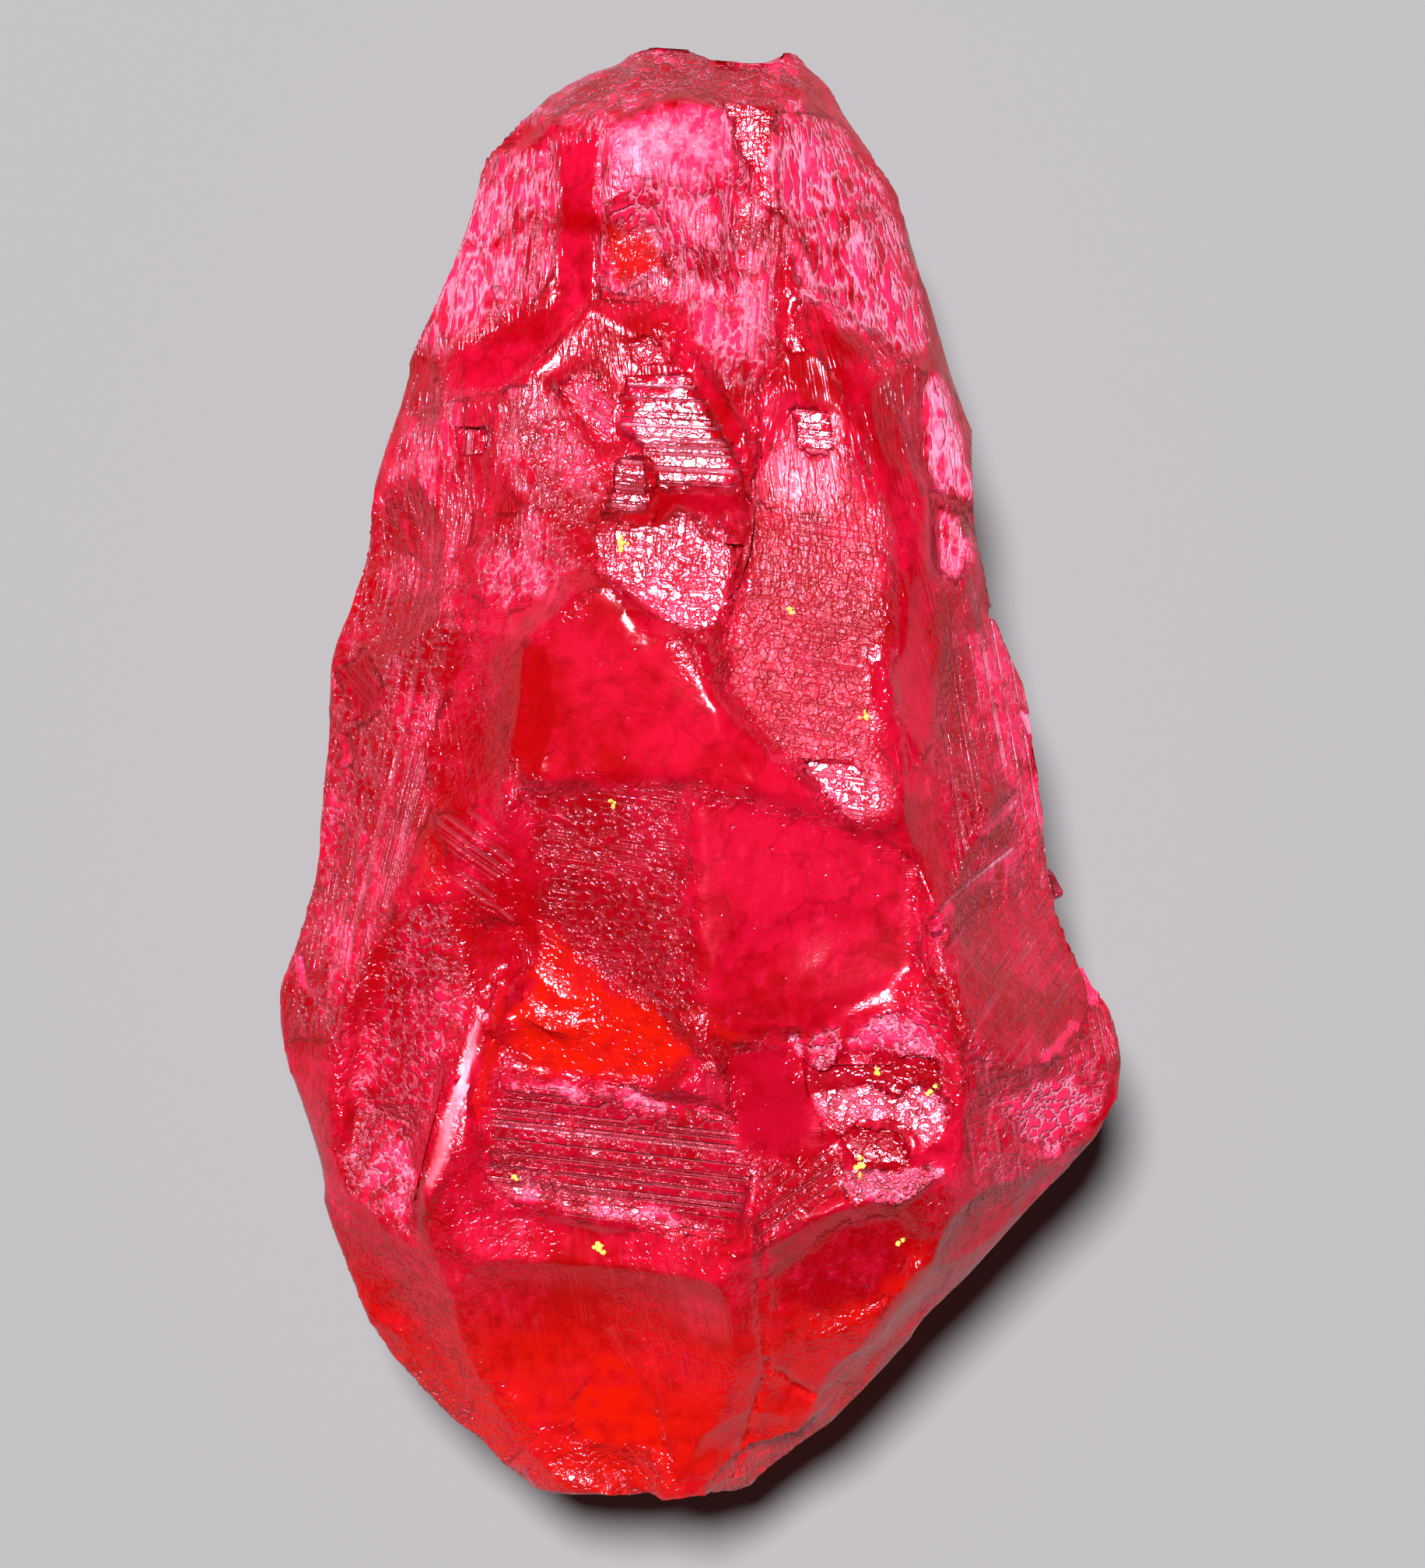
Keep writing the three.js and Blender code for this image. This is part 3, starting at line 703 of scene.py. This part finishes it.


# ---------- the ruby material ----------
# Orange is painted glow; pale is partly painted highlight; the darkest red is also painted shade.
DEEP, CRIMSON, GLOW_ORANGE = (0.6, 0.0, 0.004, 1), (0.95, 0.004, 0.045, 1), (1.0, 0.012, 0.001, 1)
PINK, PALE_ETCH_AND_GLINT, DARKEST_RED = (0.94, 0.025, 0.12, 1), (0.95, 0.38, 0.54, 1), (0.35, 0.0, 0.003, 1)
LET_THROUGH, ABSORPTION = (0.985, 0.03, 0.07, 1), 500.0  # colour, and density for each metre
RUBY_IOR = 1.77
REFLECTION_LEVEL = 0.2
REFLECTION_TINT = (1.0, 0.5, 0.62, 1)
CLEAR, CLOUDY = 0.58, 0.25  # share of light let in where the surface is clear and where frosted
POLISH, FROST_ROUGHNESS, MATTE_ROUGHNESS = 0.14, 0.14, 0.22
DRAWN_OUT = (1.5, 0.28, 1.5)  # stretches the streaks along the crystal
ETCHED_WIDTH = 0.09
ETCHED_DEPTH, DOT_DEPTH, ROW_DEPTH = 0.13, 0.1, 0.12  # mm
GRIT_HEIGHT, WAVE_HEIGHT = 0.06, 0.04  # mm


class Nodes:
    """Short calls for making one material's nodes."""

    def __init__(self, tree):
        self.tree = tree

    def add(self, kind, inputs=(), **settings):
        node = self.tree.nodes.new(kind)
        for name, value in settings.items():
            setattr(node, name, value)
        for key, value in dict(inputs).items():
            self.feed(node.inputs[key], value)
        return node

    def feed(self, socket, value):
        if isinstance(value, bpy.types.NodeSocket):
            self.tree.links.new(value, socket)
        else:
            socket.default_value = value

    def math(self, operation, a, b=0.5, c=0.5):
        node = self.add("ShaderNodeMath", operation=operation)
        for socket, value in zip(node.inputs, (a, b, c)):
            self.feed(socket, value)
        return node.outputs[0]

    def span(self, value, low, high, to_low=0.0, to_high=1.0):
        node = self.add("ShaderNodeMapRange", interpolation_type="SMOOTHSTEP")
        for key, number in zip(range(5), (value, low, high, to_low, to_high)):
            self.feed(node.inputs[key], number)
        return node.outputs[0]

    def mix(self, amount, a, b):
        node = self.add("ShaderNodeMix", data_type="RGBA")
        for key, value in zip((0, 6, 7), (amount, a, b)):
            self.feed(node.inputs[key], value)
        return node.outputs[2]

    def attribute(self, name):
        return self.add("ShaderNodeAttribute", attribute_name=name).outputs["Fac"]


def noise_node(n, vector, scale, detail=2.0):
    return n.add("ShaderNodeTexNoise", {"Vector": vector, "Scale": scale, "Detail": detail}).outputs[0]


def winding(n, value, width):
    """1 on the thin winding lines where a noise crosses its middle, 0 elsewhere."""
    off = n.math("ABSOLUTE", n.math("SUBTRACT", value, 0.5))
    return n.span(off, 0.0, width, 1.0, 0.0)


def ruby_patterns(n):
    """The numbers that colour, roughness and relief are mixed from, most of them from 0 to 1."""
    names = ("pits", "frost", "lines", "painted_glow", "painted_shade", "across", "dots", "matte", "flow", "tone")
    p = {name: n.attribute(name) for name in names}
    place = n.add("ShaderNodeTexCoord").outputs["Object"]
    mm = n.add("ShaderNodeMapping", {"Vector": place, "Scale": (1 / UNIT,) * 3}).outputs[0]
    drawn = n.add("ShaderNodeMapping", {"Vector": mm, "Scale": DRAWN_OUT}).outputs[0]

    worm = winding(n, noise_node(n, mm, 1.25, 2), ETCHED_WIDTH)
    streak = noise_node(n, drawn, 1.0, 2.5)
    streaks_over_worm = n.math("SUBTRACT", winding(n, streak, ETCHED_WIDTH), worm)
    p["etched"] = n.math("MULTIPLY_ADD", p["flow"], streaks_over_worm, worm)
    p["veil"] = winding(n, noise_node(n, mm, 0.33, 3), 0.035)
    p["speck"] = noise_node(n, mm, 3.2, 2)
    p["waves"] = noise_node(n, mm, 0.45, 1)
    p["dot"] = n.span(noise_node(n, mm, 1.3, 0.0), 0.79, 0.88)
    p["cloud"] = noise_node(n, mm, 0.16, 4)
    p["mottle"] = noise_node(n, mm, 0.8, 4)

    rows = n.add("ShaderNodeTexNoise", {"W": p["across"], "Scale": 1.1, "Detail": 2.5},
                 noise_dimensions="1D").outputs[0]
    more_lines = n.math("SUBTRACT", p["lines"], 0.5)
    unbroken = n.math("MULTIPLY_ADD", more_lines, 0.2, noise_node(n, mm, 0.45, 2))
    p["row"] = n.math("MULTIPLY", winding(n, rows, 0.05), n.span(unbroken, 0.38, 0.55))

    patchy = n.math("MULTIPLY_ADD", p["tone"], 0.07, p["frost"])
    uneven = n.math("MULTIPLY_ADD", p["cloud"], 1.6, p["mottle"])
    patchy = n.math("MULTIPLY", patchy, n.span(uneven, 0.9, 1.7, 0.35, 1.35))
    patchy = n.math("MULTIPLY_ADD", n.math("SUBTRACT", 0.5, p["speck"]), 0.7, patchy)
    p["patchy"] = n.math("MULTIPLY_ADD", n.math("SUBTRACT", 0.5, streak), 0.8, patchy)
    p["frosty"] = n.span(p["patchy"], 0.1, 0.9)
    return p


def ruby_colour(n, p):
    """Deep red to crimson, pink where it is frosted, pale in the etching, partly painted highlight,
    with pale painted glints, a painted orange glow and painted shade.
    """
    mood = n.math("MULTIPLY_ADD", p["mottle"], 0.6, p["cloud"])
    mood = n.math("MULTIPLY_ADD", p["tone"], 0.1, mood)
    colour = n.mix(n.span(mood, 0.6, 1.0), DEEP, CRIMSON)
    colour = n.mix(n.math("MULTIPLY", p["veil"], 0.35), colour, DARKEST_RED)
    colour = n.mix(n.math("MULTIPLY", p["frosty"], 0.8), colour, PINK)
    # pale threads in the etching, partly the etching's own paleness and partly painted highlight
    thread = n.math("MULTIPLY", p["etched"], n.span(p["pits"], 0.2, 1.1))
    thread = n.math("MAXIMUM", thread, n.math("MULTIPLY", p["row"], p["lines"]))
    thread = n.math("MULTIPLY", thread, n.span(p["frosty"], 0.0, 0.8, 0.22, 0.62))
    # the frostiest places, with frost above 1, get a pale painted glint
    thread = n.math("MAXIMUM", thread, n.span(p["patchy"], 0.9, 1.5, 0.0, 0.7))
    colour = n.mix(thread, colour, PALE_ETCH_AND_GLINT)
    # painted orange glow, as if lit from within, uneven with the mottling
    glow = n.math("MULTIPLY", p["painted_glow"], n.span(p["mottle"], 0.3, 0.6, 0.45, 1.0))
    colour = n.mix(glow, colour, GLOW_ORANGE)
    # painted shade: the darkest red in hollows, gaps and darker faces
    return n.mix(p["painted_shade"], colour, DARKEST_RED)


def ruby_roughness(n, p):
    rough = n.math("MULTIPLY_ADD", p["frosty"], FROST_ROUGHNESS, POLISH)
    rough = n.math("MULTIPLY_ADD", p["matte"], MATTE_ROUGHNESS, rough)
    return n.math("MULTIPLY_ADD", n.math("MULTIPLY", p["speck"], p["pits"]), 0.1, rough)


def ruby_relief(n, p):
    """Height in mm of what is too fine for the mesh."""
    height = n.math("MULTIPLY", n.math("MULTIPLY", p["etched"], p["pits"]), -ETCHED_DEPTH)
    height = n.math("MULTIPLY_ADD", n.math("MULTIPLY", p["dot"], p["dots"]), -DOT_DEPTH, height)
    height = n.math("MULTIPLY_ADD", n.math("MULTIPLY", p["row"], p["lines"]), -ROW_DEPTH, height)
    grit = n.math("MULTIPLY", p["speck"], n.math("ADD", p["pits"], 0.08))
    height = n.math("MULTIPLY_ADD", grit, GRIT_HEIGHT, height)
    return n.math("MULTIPLY_ADD", p["waves"], WAVE_HEIGHT, height)


def ruby_material():
    material = bpy.data.materials.new("ruby")
    material.use_nodes = True
    tree = material.node_tree
    n = Nodes(tree)
    shader = tree.nodes["Principled BSDF"]
    output = tree.nodes["Material Output"]
    p = ruby_patterns(n)
    bump = n.add("ShaderNodeBump", {"Height": ruby_relief(n, p), "Distance": UNIT, "Strength": 1.0})
    absorb = n.add("ShaderNodeVolumeAbsorption", {"Color": LET_THROUGH, "Density": ABSORPTION})
    tree.links.new(absorb.outputs["Volume"], output.inputs["Volume"])
    n.feed(shader.inputs["Base Color"], ruby_colour(n, p))
    n.feed(shader.inputs["Roughness"], ruby_roughness(n, p))
    n.feed(shader.inputs["Transmission Weight"], n.span(p["frosty"], 0.0, 1.0, CLEAR, CLOUDY))
    n.feed(shader.inputs["Normal"], bump.outputs[0])
    shader.inputs["IOR"].default_value = RUBY_IOR
    shader.inputs["Specular Tint"].default_value = REFLECTION_TINT
    shader.inputs["Specular IOR Level"].default_value = REFLECTION_LEVEL
    return material


# ---------- grains in the stone ----------
def grain_material():
    material = bpy.data.materials.new("yellow_grain")
    material.use_nodes = True
    n = Nodes(material.node_tree)
    shader = material.node_tree.nodes["Principled BSDF"]
    place = n.add("ShaderNodeTexCoord").outputs["Object"]
    cloud = n.add("ShaderNodeTexNoise", {"Vector": place, "Scale": 3000.0}).outputs[0]
    colour = n.mix(cloud, (0.75, 0.35, 0.03, 1), (0.95, 0.75, 0.12, 1))
    n.feed(shader.inputs["Base Color"], colour)
    n.feed(shader.inputs["Roughness"], n.span(cloud, 0.3, 0.7, 0.3, 0.6))
    bump = n.add("ShaderNodeBump", {"Height": cloud, "Distance": 0.1 * UNIT})
    n.feed(shader.inputs["Normal"], bump.outputs[0])
    return material


def grains(stone):
    """Small yellow grains half sunk in the upper side."""
    points = read_points(stone.data)
    upper = points[points[:, 2] > EDGE_HEIGHT]
    rng = np.random.default_rng(17)
    build = bmesh.new()
    for x, y, size in GRAINS:
        top = upper[np.argmin(np.hypot(upper[:, 0] - x, upper[:, 1] - y))]
        for _ in range(CRUMBS):
            lump = bmesh.ops.create_icosphere(build, subdivisions=1, radius=1.0)["verts"]
            offset = rng.normal(0, 0.5 * size, 3) * (1, 1, 0.1)
            radii = size * rng.uniform(0.25, 0.6, 3) * (1, 1, 0.6)
            for vert in lump:
                spot = np.array(vert.co) * radii * rng.uniform(0.8, 1.2) + top + offset
                vert.co = spot * UNIT + ORIGIN
    mesh = bpy.data.meshes.new("yellow_grains")
    build.to_mesh(mesh)
    build.free()
    piece = bpy.data.objects.new("yellow_grains", mesh)
    bpy.context.scene.collection.objects.link(piece)
    mesh.materials.append(grain_material())
    return piece


# ---------- floor, light and camera ----------
FLOOR_SIZE, FLOOR_COLOUR = 4, (0.215, 0.228, 0.215, 1)  # metres
HORIZON_GREY, OVERHEAD_GREY = 0.42, 0.03
KEY_FROM, KEY_SPREAD = (-0.1, 0.26, 1), 11  # direction, and width in degrees
KEY_STRENGTH, KEY_COLOUR = 7.8, (0.99, 0.91, 1.0)
CAMERA_DISTANCE, FRAME_HEIGHT = 0.4, 106.85 * UNIT  # metres
AIM_X, AIM_Y, AIM_Z = 0.77, -0.77, 18.0  # mm of the design, the middle of the picture
SENSOR = 36.0


def floor():
    bpy.ops.mesh.primitive_plane_add(size=FLOOR_SIZE, location=(0, 0, 0))
    plane = bpy.context.object
    plane.name = "floor"
    material = bpy.data.materials.new("floor")
    material.use_nodes = True
    shader = material.node_tree.nodes["Principled BSDF"]
    shader.inputs["Base Color"].default_value = FLOOR_COLOUR
    shader.inputs["Roughness"].default_value = 0.8
    plane.data.materials.append(material)


def studio_world():
    """Pale at the horizon and dim overhead."""
    sky = bpy.data.worlds.new("studio")
    bpy.context.scene.world = sky
    sky.use_nodes = True
    n = Nodes(sky.node_tree)
    direction = n.add("ShaderNodeTexCoord").outputs["Generated"]
    split = n.add("ShaderNodeSeparateXYZ", {"Vector": direction})
    grey = n.span(split.outputs["Z"], 0.02, 0.14, HORIZON_GREY, OVERHEAD_GREY)
    n.feed(sky.node_tree.nodes["Background"].inputs["Color"], grey)


def key_light():
    """A broad, even light from nearly overhead, a little to the left and beyond the crystal."""
    data = bpy.data.lights.new("key", "SUN")
    data.angle = math.radians(KEY_SPREAD)
    data.energy = KEY_STRENGTH
    data.color = KEY_COLOUR
    lamp = bpy.data.objects.new("key", data)
    bpy.context.scene.collection.objects.link(lamp)
    lamp.rotation_euler = Vector(KEY_FROM).to_track_quat("Z", "Y").to_euler()


def camera():
    """Straight above the crystal, with the narrow end at the top of the picture."""
    data = bpy.data.cameras.new("camera")
    data.sensor_width = SENSOR
    data.lens = SENSOR * CAMERA_DISTANCE / FRAME_HEIGHT
    cam = bpy.data.objects.new("camera", data)
    bpy.context.scene.collection.objects.link(cam)
    aim = Vector(ORIGIN) + UNIT * Vector((AIM_X, AIM_Y, AIM_Z))
    cam.location = aim + Vector((0, 0, CAMERA_DISTANCE))
    bpy.context.scene.camera = cam


# ---------- the scene ----------
ruby = fine_stone()
carve(ruby)
ruby.data.materials.append(ruby_material())
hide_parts(NODE)
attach(ruby, "root")
specks = grains(ruby)
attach(specks, "root")

floor()
studio_world()
key_light()
camera()
bpy.context.scene.view_settings.view_transform = "Standard"
